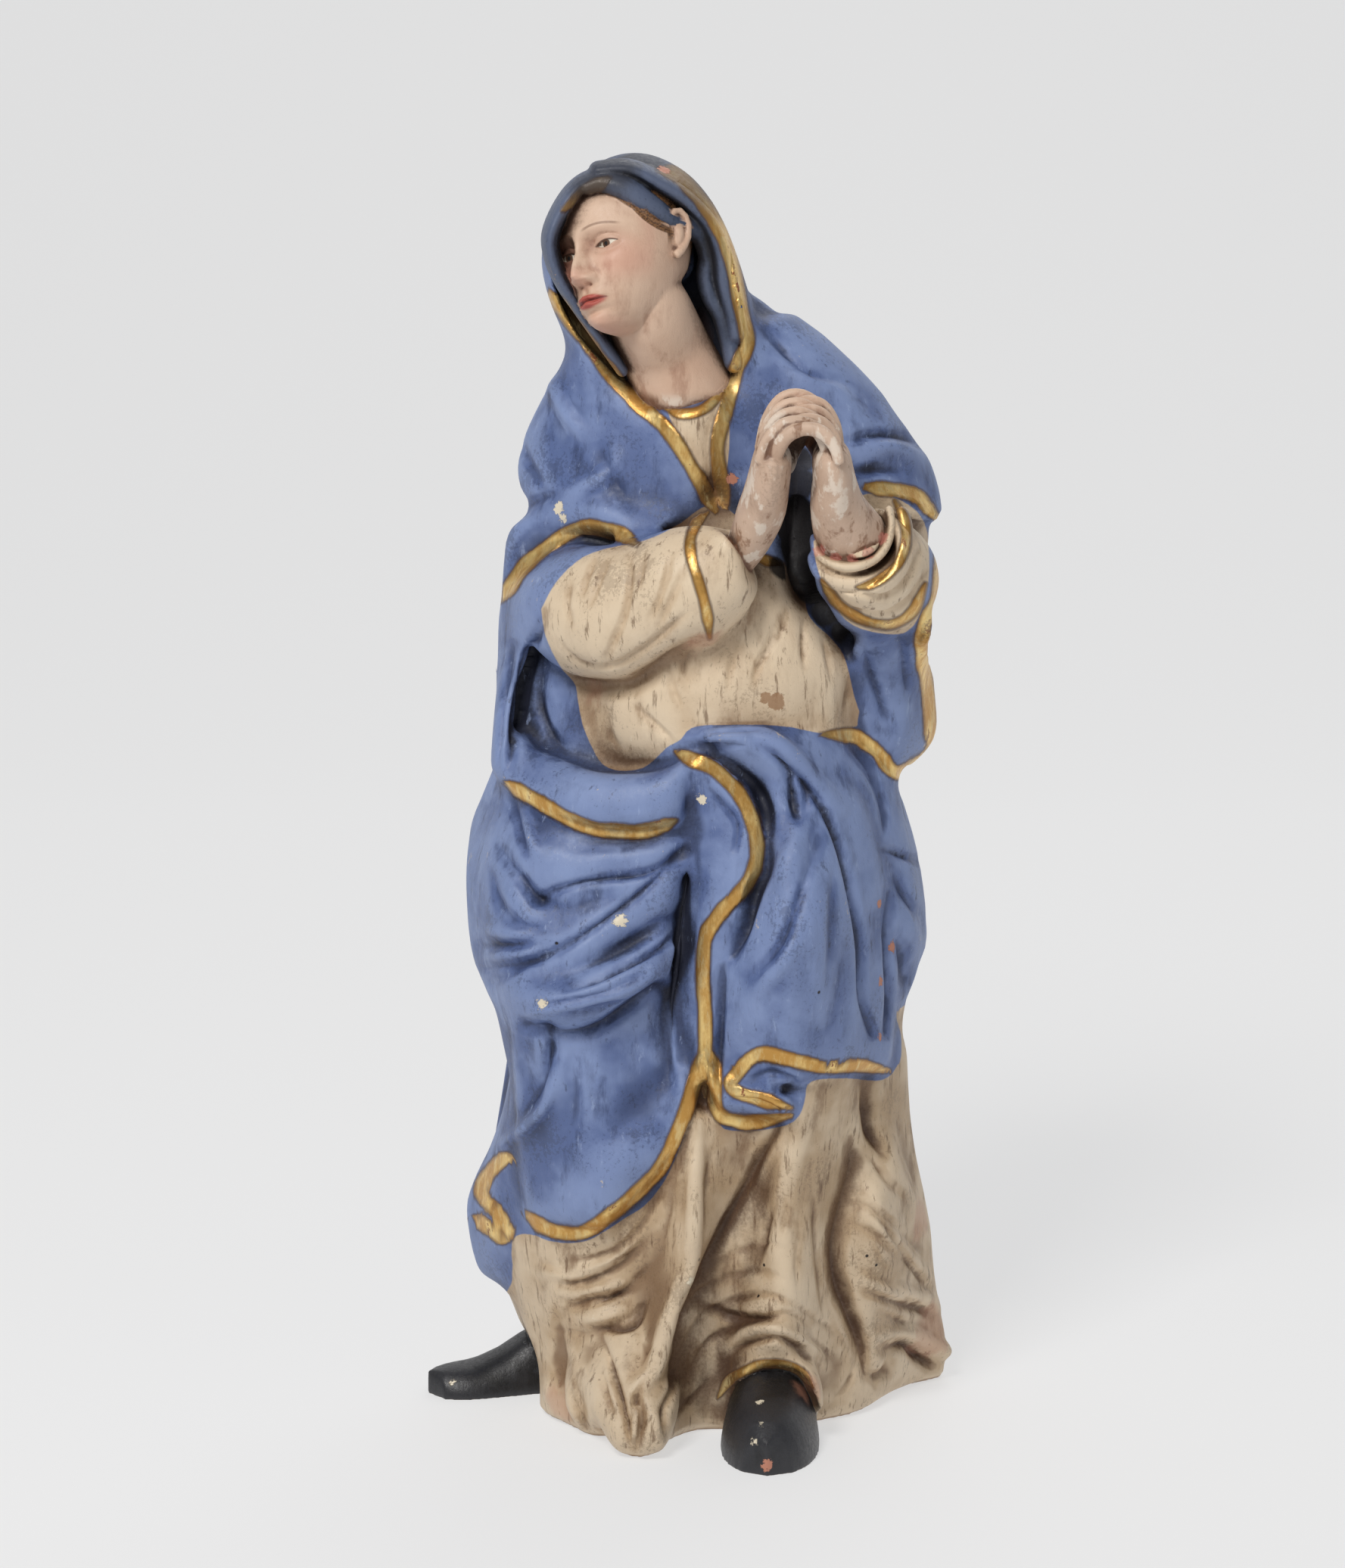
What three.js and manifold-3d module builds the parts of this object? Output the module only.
// A mourning woman in a hooded mantle, carved in one block of wood, standing on her hem and shoes.
// Millimetres, +Z up, the front towards -Y. The figure is built as a carver thinks of it: the body
// first, then each fall of the mantle laid over it, then the rolled folds, and last the deep cuts.
import * as THREE from 'three';
import { mergeVertices } from 'three/addons/utils/BufferGeometryUtils.js';
import { LoftGeometry } from 'three/addons/geometries/LoftGeometry.js';
import Module from 'manifold-3d';

const wasm = await Module();
wasm.setup();

// Driving dimensions
const HEIGHT = 648; // from the underside to the top of the hood
const CLOTH = 10; // how far a fall of the mantle stands out from what it lies on
const LET_IN = 14; // how deep a fall is let into what carries it
const SETTLE = 5; // how far a fall smooths out what it lies on
const WELD = 1.6; // edges shorter than this are drawn together where bodies are joined
const GOUGE = { width: 8, height: 8 };
const FINGER = 5.5; // radius
const HEAD = { centre: [-30, -30, 597], width: 60, depth: 72, height: 74 };
const HEAD_TURN = { yaw: 38, roll: 20, pitch: 7 }; // to her right, towards her right shoulder, up

// Places on the front are given as they are seen from EYE: x and z against the plane y = 0.
const EYE = new THREE.Vector3(-10, -2400, 780);

function seen([x, z], y) {
  const reach = 1 - y / EYE.y;
  return new THREE.Vector3(EYE.x + (x - EYE.x) * reach, y, EYE.z + (z - EYE.z) * reach);
}

const at = (x, z, y) => seen([x, z], y).toArray();

// Solids from three.js geometry

function solid(geometry) {
  const bare = new THREE.BufferGeometry();
  bare.setAttribute('position', geometry.attributes.position);
  bare.setIndex(geometry.index);
  const merged = mergeVertices(bare, 1e-3);
  const vertProperties = merged.attributes.position.array;
  const make = (triVerts) => new wasm.Manifold(
    new wasm.Mesh({ numProp: 3, vertProperties, triVerts, tolerance: WELD }),
  );
  const faces = new Uint32Array(merged.index.array);
  const made = make(faces);
  return made.volume() > 0 ? made : make(faces.reverse());
}

function toMesh(body, name, material) {
  const { numProp, vertProperties, triVerts } = body.getMesh();
  const geometry = new THREE.BufferGeometry();
  geometry.setAttribute('position', new THREE.BufferAttribute(Float32Array.from(vertProperties), numProp));
  geometry.setIndex(new THREE.BufferAttribute(Uint32Array.from(triVerts), 1));
  const mesh = new THREE.Mesh(geometry, material);
  mesh.name = name;
  return mesh;
}

const fuse = (...bodies) => bodies.reduce((all, next) => all.add(next));

// A value that runs smoothly through a list of numbers, for t from 0 to 1
function along(values, t) {
  const reach = t * (values.length - 1);
  const i = Math.min(Math.floor(reach), values.length - 2);
  const pick = (k) => values[Math.min(Math.max(k, 0), values.length - 1)];
  const [a, b, c, d] = [pick(i - 1), pick(i), pick(i + 1), pick(i + 2)];
  const s = reach - i;
  return b + 0.5 * s * (c - a + s * (2 * a - 5 * b + 4 * c - d + s * (3 * (b - c) + d - a)));
}

const placeAlong = (places, t) => places[0].map((_, axis) => along(places.map((p) => p[axis]), t));

// A limb through points [x, y, z] with a radius for each, its ends rounded or left blunt
function limb(points, radii, { sides = 10, rings = 8, squash = 1, blunt = false } = {}) {
  const curve = new THREE.CatmullRomCurve3(points.map((p) => new THREE.Vector3(...p)));
  const length = curve.getLength();
  const steps = Array.from({ length: rings + 1 }, (_, k) => (1 - Math.cos((Math.PI * k) / rings)) / 2);
  const frames = curve.computeFrenetFrames(rings);
  const sections = steps.map((t, k) => {
    const full = along(radii, t);
    const end = Math.min((Math.min(t, 1 - t) * length) / full, 1);
    const radius = blunt ? full : full * Math.max(Math.sqrt(1 - (1 - end) ** 2), 0.2);
    const centre = curve.getPoint(t);
    return Array.from({ length: sides }, (_, i) => {
      const turn = (i / sides) * Math.PI * 2;
      const out = frames.normals[k].clone().multiplyScalar(Math.cos(turn) * radius);
      out.addScaledVector(frames.binormals[k], Math.sin(turn) * radius);
      out.y *= squash;
      return out.add(centre);
    });
  });
  return solid(new LoftGeometry(sections, { capStart: true, capEnd: true }));
}

// A round egg, turned about its own centre
function egg([x, y, z], [width, depth, height], turn = new THREE.Matrix4(), sides = 10) {
  const geometry = new THREE.SphereGeometry(0.5, sides, Math.round(sides * 0.7));
  geometry.rotateX(Math.PI / 2);
  geometry.scale(width, depth, height);
  geometry.applyMatrix4(turn);
  geometry.translate(x, y, z);
  return solid(geometry);
}

// A stack of level rounds: each is [height, left, right, front, back, depth where it is widest]
const SQUARENESS = 2.3; // 2 is an ellipse, more is squarer
function stack(levels, { sides, rings, folds = [] }) {
  const bulge = (v) => Math.sign(v) * Math.abs(v) ** (2 / SQUARENESS);
  const sections = Array.from({ length: rings + 1 }, (_, k) => {
    const share = k / rings;
    const [z, left, right, front, back, middle] = placeAlong(levels, share);
    return Array.from({ length: sides }, (_, i) => {
      const turn = (i / sides) * Math.PI * 2;
      const out = 1 + (2 * foldHeight(folds, THREE.MathUtils.radToDeg(turn), share)) / (right - left);
      const x = (left + right) / 2 + ((right - left) / 2) * bulge(Math.cos(turn)) * out;
      const reach = Math.sin(turn) > 0 ? back - middle : middle - front;
      return new THREE.Vector3(x, middle + reach * bulge(Math.sin(turn)) * out, z);
    });
  });
  return solid(new LoftGeometry(sections, { capStart: true, capEnd: true }));
}

// Folds round a stack: each runs from one bearing at its foot to another at its top, in degrees
function foldHeight(folds, bearing, share) {
  return folds.reduce((sum, { foot, top, width, height, from, to }) => {
    if (share < from || share > to) return sum;
    const run = (share - from) / (to - from);
    const away = bearing - THREE.MathUtils.lerp(foot, top, run);
    const turned = away - 360 * Math.round(away / 360);
    return sum + height * Math.exp(-((turned / width) ** 2)) * Math.cos((Math.PI * run) / 2) ** 0.5;
  }, 0);
}

// Cloth laid on what is already there

const ray = new THREE.Raycaster();

// The depth at which the sight line through each place meets a body, settled as cloth is over gaps
function depths(body, places, settle) {
  const target = toMesh(body, 'target', undefined);
  let rows = places.map((row) => row.map((place) => {
    ray.set(EYE, seen(place, 0).sub(EYE).normalize());
    const [hit] = ray.intersectObject(target);
    return hit ? hit.point.y : null;
  }));
  for (let pass = 0; pass < settle; pass++) {
    rows = rows.map((row, r) => row.map((y, c) => {
      const around = [rows[r][c - 1], rows[r][c + 1], rows[r - 1]?.[c], rows[r + 1]?.[c]];
      const near = around.filter((v) => v !== undefined && v !== null);
      if (!near.length) return y;
      const mean = near.reduce((a, b) => a + b) / near.length;
      return y === null ? mean : (y + mean) / 2;
    }));
  }
  return rows.map((row) => row.map((y) => y ?? 0));
}

// A fall of cloth between two edges, each a list of places read from top to bottom. The edge that
// goes round the side of the figure is tucked in, so that only the free edges stand out.
function fall(body, { left, right, tuck, lift = CLOTH, across = 8, down = 9 }) {
  const places = Array.from({ length: down + 1 }, (_, r) => {
    const edges = [placeAlong(left, r / down), placeAlong(right, r / down)];
    return Array.from({ length: across + 1 }, (_, c) => placeAlong(edges, c / across));
  });
  const close = depths(body, places, 1);
  const settled = depths(body, places, SETTLE);
  const geometry = new THREE.BoxGeometry(1, 1, 1, across, down, 1);
  const position = geometry.attributes.position;
  for (let i = 0; i < position.count; i++) {
    const c = Math.round((position.getX(i) + 0.5) * across);
    const r = Math.round((0.5 - position.getY(i)) * down);
    const inFromTuck = Math.min({ left: c / 2, right: (across - c) / 2 }[tuck] ?? 1, 1);
    const rim = c === 0 || r === 0 || c === across || r === down ? 0.7 : 1;
    const outward = position.getZ(i) > 0 ? lift * rim * inFromTuck + relief(places[r][c]) : -LET_IN;
    const rest = THREE.MathUtils.lerp(close[r][c], settled[r][c], inFromTuck);
    position.setXYZ(i, ...seen(places[r][c], rest - outward));
  }
  return solid(geometry);
}

// How far the folds near a place raise it, or sink it where their height is below nothing
function relief([x, z]) {
  return FOLD_LINES.reduce((sum, { spots, width, height }) => {
    const gaps = spots.map(([sx, sz]) => Math.hypot(x - sx, z - sz));
    const away = Math.min(...gaps);
    if (away > width * 2) return sum;
    return sum + along(height, gaps.indexOf(away) / (spots.length - 1)) * Math.exp(-((away / width) ** 2));
  }, 0);
}

// The cut of a gouge drawn along places on a body
function gouge(body, places, { width, height, sides = 6, rings = 6 }) {
  const spots = Array.from({ length: rings + 1 }, (_, k) => placeAlong(places, k / rings));
  const [rest] = depths(body, [spots], 2);
  const sections = spots.map((place, k) => {
    const [ax, az] = spots[Math.max(k - 1, 0)];
    const [bx, bz] = spots[Math.min(k + 1, rings)];
    const side = new THREE.Vector3(az - bz, 0, bx - ax).normalize();
    const taper = Math.max(Math.sin((Math.PI * k) / rings) ** 0.6, 0.3);
    return Array.from({ length: sides }, (_, i) => {
      const turn = ((i + 0.5) / sides) * Math.PI * 2;
      const spot = seen(place, rest[k] - Math.sin(turn) * height * taper);
      return spot.addScaledVector(side, (Math.cos(turn) * width * taper) / 2);
    });
  });
  return solid(new LoftGeometry(sections, { capStart: true, capEnd: true }));
}

// A pocket cut straight back along the sight lines inside an outline, down to a depth
function pocket(outline, floor, front = -220) {
  const shape = new THREE.Shape();
  shape.moveTo(...outline[0]);
  shape.splineThru([...outline.slice(1), outline[0]].map(([x, z]) => new THREE.Vector2(x, z)));
  const geometry = new THREE.ExtrudeGeometry(shape, { depth: 1, bevelEnabled: false, curveSegments: 2 });
  const position = geometry.attributes.position;
  for (let i = 0; i < position.count; i++) {
    const y = position.getZ(i) > 0.5 ? floor : front;
    position.setXYZ(i, ...seen([position.getX(i), position.getY(i)], y));
  }
  return solid(geometry);
}

// The body under the cloth

const BODY = [
  [0, -74, 96, -66, 58, 10],
  [22, -82, 102, -72, 60, 8],
  [45, -92, 110, -76, 62, 4],
  [80, -104, 121, -80, 64, -2],
  [120, -104, 114, -82, 64, 0],
  [160, -95, 108, -82, 64, 0],
  [200, -94, 108, -82, 64, 0],
  [240, -114, 116, -82, 66, 2],
  [280, -116, 112, -80, 66, 2],
  [320, -104, 102, -74, 64, 0],
  [360, -98, 108, -62, 60, 0],
  [400, -92, 114, -54, 58, 0],
  [440, -84, 122, -50, 58, 2],
  [475, -82, 119, -46, 58, 4],
  [505, -76, 102, -38, 54, 6],
  [530, -62, 80, -26, 48, 8],
  [552, -50, 56, -12, 42, 10],
  [575, -40, 34, -4, 36, 12],
];

// The long folds that hang down the back and the sides: 0 is her left, 90 the back, 180 her right
const BACK_FOLDS = [
  { foot: 8, top: 40, width: 9, height: 12, from: 0, to: 0.55 },
  { foot: 34, top: 66, width: 9, height: 16, from: 0, to: 0.78 },
  { foot: 62, top: 82, width: 9, height: 20, from: 0, to: 0.88 },
  { foot: 92, top: 98, width: 9, height: 18, from: 0, to: 0.92 },
  { foot: 122, top: 112, width: 9, height: 20, from: 0, to: 0.86 },
  { foot: 150, top: 124, width: 9, height: 16, from: 0, to: 0.74 },
  { foot: 172, top: 150, width: 8, height: 8, from: 0.05, to: 0.5 },
];

const HOOD = [
  [515, -62, 62, -34, 50, 6],
  [540, -60, 42, -46, 46, 2],
  [560, -67, 34, -60, 42, -4],
  [580, -75, 28, -68, 38, -10],
  [600, -77, 22, -70, 34, -14],
  [618, -71, 14, -64, 28, -16],
  [634, -60, 3, -52, 18, -16],
  [644, -46, -12, -36, 6, -16],
  [HEIGHT, -36, -22, -24, -8, -16],
];

// The opening of the hood and of the mantle's front, down to the clasp
const OPENING = [
  [12, 468], [-4, 490], [-20, 512], [-40, 534], [-56, 552], [-67, 572], [-72, 594], [-66, 614], [-50, 628],
  [-30, 633], [-8, 629], [8, 616], [17, 596], [22, 572], [24, 552], [20, 532], [15, 505],
];

const headTurn = new THREE.Matrix4()
  .makeRotationZ(THREE.MathUtils.degToRad(-HEAD_TURN.yaw))
  .multiply(new THREE.Matrix4().makeRotationY(THREE.MathUtils.degToRad(-HEAD_TURN.roll)))
  .multiply(new THREE.Matrix4().makeRotationX(THREE.MathUtils.degToRad(-HEAD_TURN.pitch)));

// A place in the head's own frame: x to her left ear, y to the back, z to the crown
function inHead(x, y, z) {
  return new THREE.Vector3(x, y, z).applyMatrix4(headTurn).add(new THREE.Vector3(...HEAD.centre)).toArray();
}

function head() {
  const { centre, width, depth, height } = HEAD;
  const small = { sides: 6, rings: 4 };
  return fuse(
    egg(centre, [width, depth, height], headTurn, 14),
    egg(inHead(0, -11, -17), [46, 46, 52], headTurn, 12),
    limb([inHead(0, -31, 2), inHead(0, -37, -8), inHead(0, -40, -15)], [3, 4, 5.5], small),
    limb([inHead(-20, -27, 4), inHead(0, -32, 6), inHead(20, -27, 4)], [3, 4, 3], small),
    limb([inHead(-8, -30, -28), inHead(0, -34, -28), inHead(8, -30, -28)], [2, 3.5, 2], small),
    egg(inHead(0, -26, -36), [20, 16, 14], headTurn, 8),
    limb([inHead(31, 2, 6), inHead(33, 6, -3), inHead(30, 1, -14)], [3, 5, 3], small),
    limb([inHead(0, 0, -20), at(-12, 540, -20), at(0, 512, -30), at(8, 470, -30)], [25, 23, 28, 30]),
  );
}

// Her own right shoe points out to the side, the other one forward from under the hem
const SHOE = { length: 88, width: 44, height: 13, round: 4 };

function shoe([x, y], turn, { length, width, height, round } = SHOE) {
  const half = Array.from({ length: 7 }, (_, i) => {
    const run = Math.cos((Math.PI * i) / 6);
    const waist = 1 - 0.14 * Math.sin(Math.PI * Math.max(-run, 0));
    return new THREE.Vector2((run * length) / 2, (waist * (width / 2) * (1 - Math.abs(run) ** 3.5)) + 2);
  });
  const outline = new THREE.Shape([...half, ...half.map((p) => new THREE.Vector2(p.x, -p.y)).reverse()]);
  const bevel = { bevelThickness: round, bevelSize: round, bevelOffset: -round, bevelSegments: 1 };
  const geometry = new THREE.ExtrudeGeometry(outline, { depth: height - round, steps: 1, ...bevel });
  geometry.rotateZ(THREE.MathUtils.degToRad(turn));
  geometry.translate(x, y, -round / 2);
  return solid(geometry);
}

function shoes() {
  return fuse(
    shoe([-96, 6], 197),
    limb([[-52, 18, 34], [-82, 11, 20], [-112, 0, 9]], [24, 19, 10], { sides: 10, rings: 6 }),
    limb([[-56, 16, 70], [-66, 15, 24]], [20, 20], { rings: 4 }),
    shoe([44, -98], -90),
    limb([[44, -62, 32], [44, -92, 22], [44, -119, 13]], [27, 24, 17], { sides: 10, rings: 6 }),
  );
}

// Sleeves, wrists and clasped hands, by her own right and left

function sleeves() {
  const right = limb(
    [at(-64, 418, -34), at(-45, 411, -56), at(-15, 420, -74), at(8, 432, -88), at(26, 441, -92)],
    [30, 36, 33, 29, 19],
    { sides: 12, rings: 8, blunt: true },
  );
  const left = limb(
    [at(98, 430, -20), at(94, 432, -66), at(84, 446, -98)],
    [28, 31, 25],
    { sides: 14, blunt: true },
  );
  const mouth = limb([at(90, 438, -84), at(83, 447, -104)], [17, 20], { sides: 8, rings: 2, blunt: true });
  return fuse(right, left).subtract(mouth);
}

function hands() {
  const palm = { sides: 8, rings: 4, squash: 1.4 };
  const toFingers = (side) => at(side, 506, -113);
  const right = [at(6, 434, -84), at(25, 450, -98), at(36, 474, -105), at(41, 492, -110), toFingers(46)];
  const left = [at(90, 440, -88), at(82, 458, -100), at(74, 478, -106), at(69, 494, -110), toFingers(64)];
  const knuckles = (y, i) => [at(43, 512 - i, y), at(54, 519 - i, y), at(65, 514 - i, y)];
  const fingers = [-128, -119, -110, -101].map((y, i) => limb(
    [at(35, 499, y + 2), ...knuckles(y, i), at(75, 502, y + 1)],
    [FINGER, FINGER, FINGER, FINGER, FINGER],
    { sides: 6, rings: 6 },
  ));
  const thumb = limb(
    [at(46, 486, -121), at(54, 500, -131), at(61, 511, -129)],
    [6, 5, 4],
    { sides: 6, rings: 3 },
  );
  const palms = [limb(right, [14, 12, 13, 14, 11], palm), limb(left, [15, 13, 13, 14, 11], palm)];
  return fuse(...palms, ...fingers, thumb);
}

// The hem of the gown lies on the ground in lobes in front of her right leg
function hemLobes() {
  const soft = { sides: 10, rings: 5 };
  return fuse(
    limb([[-28, -60, 64], [-29, -90, 28], [-25, -121, 4]], [17, 24, 18], soft),
    limb([[-54, -60, 46], [-53, -76, 22], [-50, -88, 6]], [11, 14, 13], soft),
    limb([[-64, -44, 38], [-66, -54, 16], [-66, -62, 6]], [10, 12, 11], soft),
  );
}

// The gown below the mantle, then the mantle from its lowest layer to its highest: each fall of
// cloth hangs between two lines of places, read from top to bottom

const GOWN = {
  left: [[-88, 116], [-92, 60], [-84, 10], [-80, -55]],
  right: [[112, 190], [115, 140], [125, 92], [129, 48], [137, 12], [128, -55]],
  lift: 5, across: 26, down: 12,
};

const MANTLE = [
  { // behind her right leg, down to the hem above her shoe
    left: [[-95, 200], [-95, 165], [-106, 130], [-119, 100], [-112, 62]],
    right: [[-84, 196], [-84, 160], [-86, 125], [-88, 95], [-96, 54]],
    lift: 14, across: 5, down: 8, tuck: 'left',
  },
  { // over her right leg, from the hip to the long slanting hem
    left: [[-94, 202], [-92, 160], [-90, 125], [-86, 90]],
    right: [[2, 240], [4, 172], [-10, 128], [-46, 86]],
    lift: 12, across: 10, down: 10,
  },
  { // the big fold round her right hip
    left: [[-104, 330], [-115, 300], [-117, 262], [-112, 225], [-96, 197]],
    right: [[-2, 330], [-2, 295], [-3, 265], [-5, 245], [-14, 218]],
    lift: 15, across: 13, down: 12, tuck: 'left',
  },
  { // over her left thigh, from the waist to the hem across her shin
    left: [[4, 348], [38, 322], [42, 292], [30, 262], [15, 232], [11, 190], [12, 158]],
    right: [[72, 350], [96, 322], [106, 285], [108, 245], [106, 212], [104, 174]],
    lift: 13, across: 11, down: 13,
  },
  { // the narrow fall down the middle, turned over at the waist
    left: [[-3, 334], [-2, 300], [-1, 270], [1, 240], [3, 205], [3, 168]],
    right: [[4, 342], [30, 322], [36, 296], [31, 268], [14, 236], [10, 168]],
    lift: 14, across: 4, down: 11,
  },
  { // the lower turn of the hem across her shin
    left: [[8, 172], [12, 150]],
    right: [[54, 158], [52, 146]],
    lift: 12, across: 5, down: 2,
  },
  { // behind her left hip
    left: [[84, 345], [98, 310], [104, 270], [106, 235], [104, 206]],
    right: [[104, 330], [114, 300], [120, 270], [122, 235], [108, 204]],
    lift: 9, across: 3, down: 7, tuck: 'right',
  },
  { // the sling of cloth across the waist, up to the right arm
    left: [[-100, 372], [-84, 345], [-62, 335], [-45, 329], [-15, 331], [-2, 338]],
    right: [[-104, 330], [-86, 316], [-66, 306], [-46, 301], [-25, 301], [-4, 303]],
    lift: 17, across: 4, down: 9,
  },
  { // hanging from the left arm
    left: [[86, 402], [80, 388], [85, 366], [84, 352], [102, 332]],
    right: [[124, 438], [122, 402], [125, 368], [125, 346], [108, 330]],
    lift: 9, across: 5, down: 8, tuck: 'right',
  },
  { // hanging from the right arm, showing its inside
    left: [[-62, 450], [-85, 437], [-98, 420], [-100, 390], [-102, 360], [-104, 330]],
    right: [[-38, 446], [-66, 434], [-80, 408], [-86, 382], [-92, 355], [-98, 332]],
    lift: 12, across: 4, down: 9, tuck: 'left',
  },
  { // the cape over her right arm
    left: [[-56, 554], [-38, 534], [-14, 508], [2, 486], [9, 466]],
    right: [[-64, 545], [-84, 508], [-89, 478], [-64, 456], [-28, 450]],
    lift: 9, across: 8, down: 8, tuck: 'right',
  },
  { // its turned edge round the arm
    left: [[-26, 464], [-55, 472], [-80, 466], [-95, 455]],
    right: [[-26, 449], [-55, 456], [-80, 444], [-98, 420]],
    lift: 7, across: 3, down: 8,
  },
  { // the cape over her left shoulder and arm
    left: [[28, 560], [27, 540], [22, 520], [17, 498], [15, 470]],
    right: [[50, 568], [82, 542], [106, 512], [124, 486], [128, 460]],
    lift: 8, across: 7, down: 7, tuck: 'right',
  },
];

// The folds and the furrows between them: a line of places, how wide, and the height along it
const FOLDS = [
  { line: [[-72, 268], [-50, 274], [-30, 276], [-8, 285]], width: 8, height: [0, 7, 7, 4] },
  { line: [[-62, 238], [-45, 254], [-28, 264], [-6, 280]], width: 8, height: [2, 7, 7, 4] },
  {
    line: [[-108, 238], [-84, 208], [-50, 212], [-28, 222], [-6, 244]],
    width: 10, height: [3, 10, 10, 8, 4],
  },
  { line: [[-84, 268], [-72, 256], [-50, 264], [-28, 270]], width: 6, height: [-4, -9, -5, 0] },
  { line: [[-82, 226], [-60, 226], [-34, 240], [-8, 260]], width: 7, height: [-3, -6, -6, -3] },
  { line: [[-110, 302], [-106, 276], [-98, 258], [-86, 248]], width: 9, height: [5, 8, 8, 3] },
  { line: [[-92, 300], [-84, 286], [-64, 290], [-30, 294]], width: 8, height: [2, 6, 4, 0] },
  { line: [[-4, 300], [-5, 262], [-12, 214], [-7, 172]], width: 6, height: [-5, -9, -12, -9] },
  {
    line: [[3, 350], [24, 350], [44, 341], [66, 320], [80, 290], [84, 252]],
    width: 9, height: [6, 9, 9, 8, 6, 2],
  },
  { line: [[10, 340], [32, 334], [50, 320], [64, 296], [68, 266]], width: 6, height: [-3, -7, -7, -5, 0] },
  { line: [[56, 300], [60, 250], [50, 205], [46, 176]], width: 16, height: [0, 9, 6, 2] },
  { line: [[38, 292], [34, 266], [24, 240], [18, 205]], width: 7, height: [-5, -9, -6, -2] },
  { line: [[50, 238], [42, 226], [30, 205], [25, 186]], width: 8, height: [0, 5, 6, 3] },
  { line: [[88, 276], [84, 240], [84, 200], [90, 178]], width: 9, height: [0, 6, 6, 5] },
  { line: [[74, 250], [70, 220], [70, 184]], width: 7, height: [0, -5, -5] },
  { line: [[114, 300], [116, 270], [112, 236]], width: 7, height: [3, 5, 3] },
  { line: [[-80, 196], [-79, 160], [-98, 138]], width: 7, height: [3, 8, 4] },
  { line: [[-88, 192], [-86, 168], [-84, 148]], width: 5, height: [-3, -8, -3] },
  { line: [[-60, 190], [-52, 150], [-56, 100]], width: 16, height: [0, 6, 4] },
  { line: [[-14, 160], [-30, 130], [-52, 104]], width: 9, height: [0, 6, 4] },
  { line: [[-100, 128], [-108, 105], [-106, 76]], width: 7, height: [5, 8, 6] },
  { line: [[-72, 472], [-52, 480], [-34, 474]], width: 7, height: [0, 5, 1] },
  { line: [[-66, 520], [-50, 504], [-30, 484]], width: 12, height: [0, 5, 2] },
  { line: [[80, 500], [100, 505], [116, 492]], width: 8, height: [2, 6, 3] },
  { line: [[40, 545], [60, 520], [84, 488]], width: 12, height: [0, 5, 2] },
  { line: [[104, 426], [104, 390], [106, 352]], width: 8, height: [0, 4, 3] },
  { line: [[-78, 76], [-45, 80], [-16, 104]], width: 8, height: [4, 7, 2] },
  { line: [[-72, 50], [-50, 44], [-24, 42]], width: 7, height: [4, 6, 2] },
  { line: [[-66, 90], [-74, 40], [-76, -30]], width: 10, height: [0, 8, 12] },
  { line: [[-44, 60], [-56, 10], [-61, -50]], width: 13, height: [0, 12, 34] },
  { line: [[1, 164], [0, 100], [-6, 50], [-22, 0], [-28, -55]], width: 10, height: [8, 18, 24, 24, 14] },
  { line: [[-12, 50], [-24, 0], [-28, -55]], width: 23, height: [0, 16, 48] },
  { line: [[-26, 60], [-38, 10], [-41, -50]], width: 7, height: [-4, -9, -8] },
  { line: [[38, 144], [30, 110], [22, 70], [12, 30], [4, -50]], width: 10, height: [-4, -12, -14, -12, -6] },
  { line: [[52, 150], [54, 100], [52, 60], [46, 24]], width: 18, height: [6, 12, 20, 28] },
  { line: [[88, 172], [90, 136], [80, 100], [77, 60], [82, 10]], width: 9, height: [-6, -12, -16, -14, -8] },
  { line: [[104, 188], [102, 130], [100, 70], [92, 0], [86, -50]], width: 10, height: [2, 6, 8, 6, 4] },
  { line: [[84, 108], [98, 98], [118, 68]], width: 8, height: [0, 9, 5] },
  { line: [[90, 58], [106, 50], [126, 40]], width: 8, height: [0, 8, 5] },
  { line: [[92, 24], [112, 18], [136, 14]], width: 9, height: [2, 8, 6] },
];

const FOLD_LINES = FOLDS.map(({ line, width, height }) => (
  { width, height, spots: Array.from({ length: 21 }, (_, k) => placeAlong(line, k / 20)) }
));

// The deepest cut, between the two falls that meet in the middle
const GOUGE_LINE = [[-1, 300], [-4, 262], [-10, 210], [-4, 168]];

// The figure, layer by layer

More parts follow.
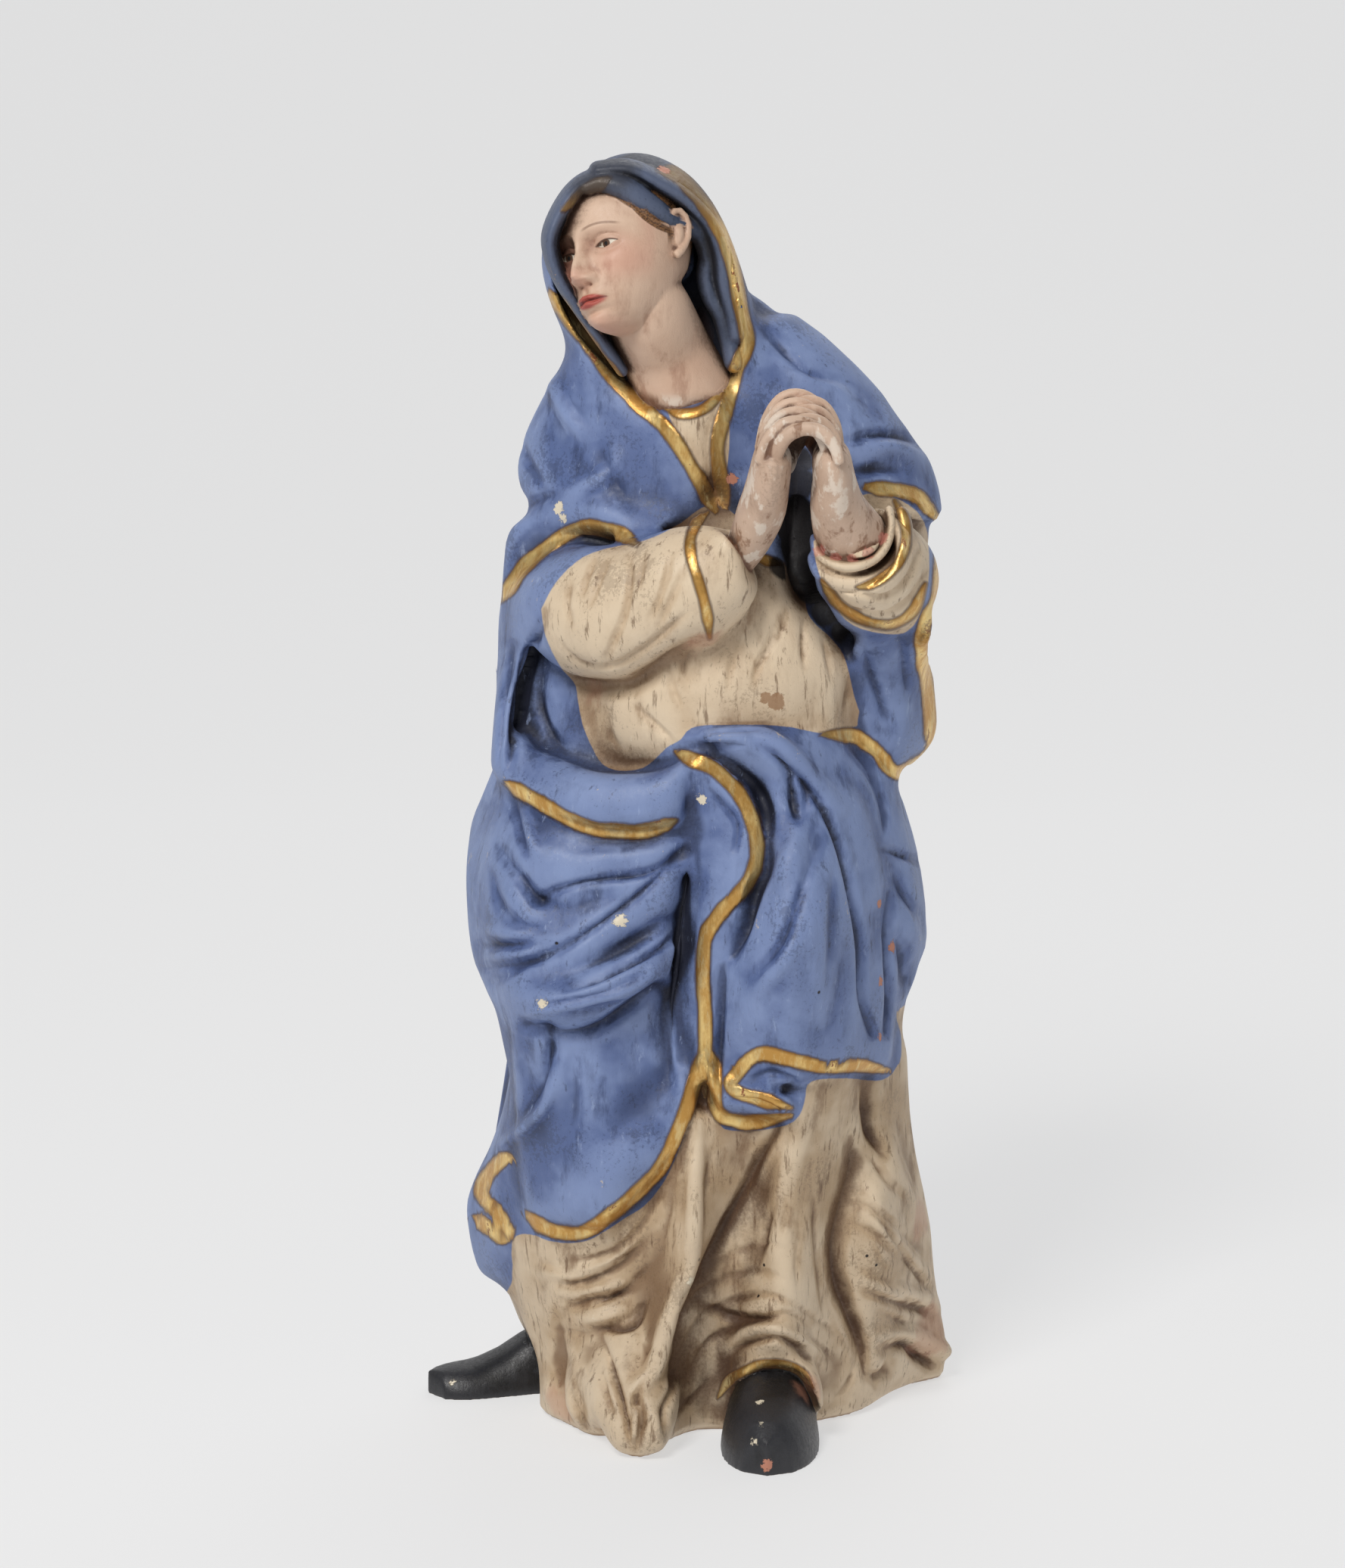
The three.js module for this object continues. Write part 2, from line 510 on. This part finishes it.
const TORSO = { sides: 14, squash: 0.8 };
const ROUND = { sides: 12 };
const SHOULDERS = [at(-54, 496, 2), at(-16, 516, 6), at(50, 522, 6), at(92, 478, 4)];
const TRUNK = [[8, -30, 290], [14, -34, 350], [16, -34, 385], [12, -28, 430], [8, -20, 490]];
const LEFT_LEG = [at(34, 326, -44), at(46, 250, -70), at(52, 180, -64), at(52, 120, -56)];
const RIGHT_LEG = [at(-62, 330, -20), at(-62, 250, -44), at(-54, 170, -46), at(-50, 100, -40)];

const frame = fuse(
  stack(BODY, { sides: 36, rings: 15, folds: BACK_FOLDS }),
  limb(SHOULDERS, [28, 34, 40, 34], ROUND),
  limb(TRUNK, [58, 68, 70, 60, 44], TORSO),
  limb(LEFT_LEG, [44, 38, 34, 28], ROUND),
  limb(RIGHT_LEG, [40, 46, 40, 34], ROUND),
  limb([[92, 4, 90], [98, 12, 40], [100, 20, 4]], [26, 23, 21], { sides: 10, rings: 6 }),
  limb([[100, 12, 96], [110, 16, 50], [136, 31, 9]], [22, 21, 9], { sides: 8, rings: 6 }),
  limb([[88, 30, 110], [100, 34, 50], [120, 42, 8]], [26, 24, 14], { sides: 8, rings: 6 }),
);
const hooded = frame.add(stack(HOOD, { sides: 22, rings: 9 })).subtract(pocket(OPENING, -12));
const gowned = hooded.add(fall(hooded, GOWN));
const dressed = fuse(gowned, hemLobes(), head(), shoes(), sleeves());
const draped = MANTLE.reduce((body, cloth) => body.add(fall(body, cloth)), dressed);
const cut = draped.subtract(gouge(draped, GOUGE_LINE, GOUGE));

// The underside is sawn flat
const ground = solid(new THREE.BoxGeometry(600, 600, 200)).translate([0, 0, -100]);
const whole = cut.add(hands()).subtract(ground);

// Hollows shut in between the layers are filled: only the outer skin is kept
const [skin] = whole.decompose().sort((a, b) => b.volume() - a.volume());

const { min, max } = skin.boundingBox();
const figure = skin.translate([-(min[0] + max[0]) / 2, -(min[1] + max[1]) / 2, 0]);

const wood = new THREE.MeshStandardMaterial({ color: 0x6a7aa8, roughness: 0.6, metalness: 0 });
const statue = new THREE.Group();
statue.add(toMesh(figure, 'carved_figure', wood));

export default statue;
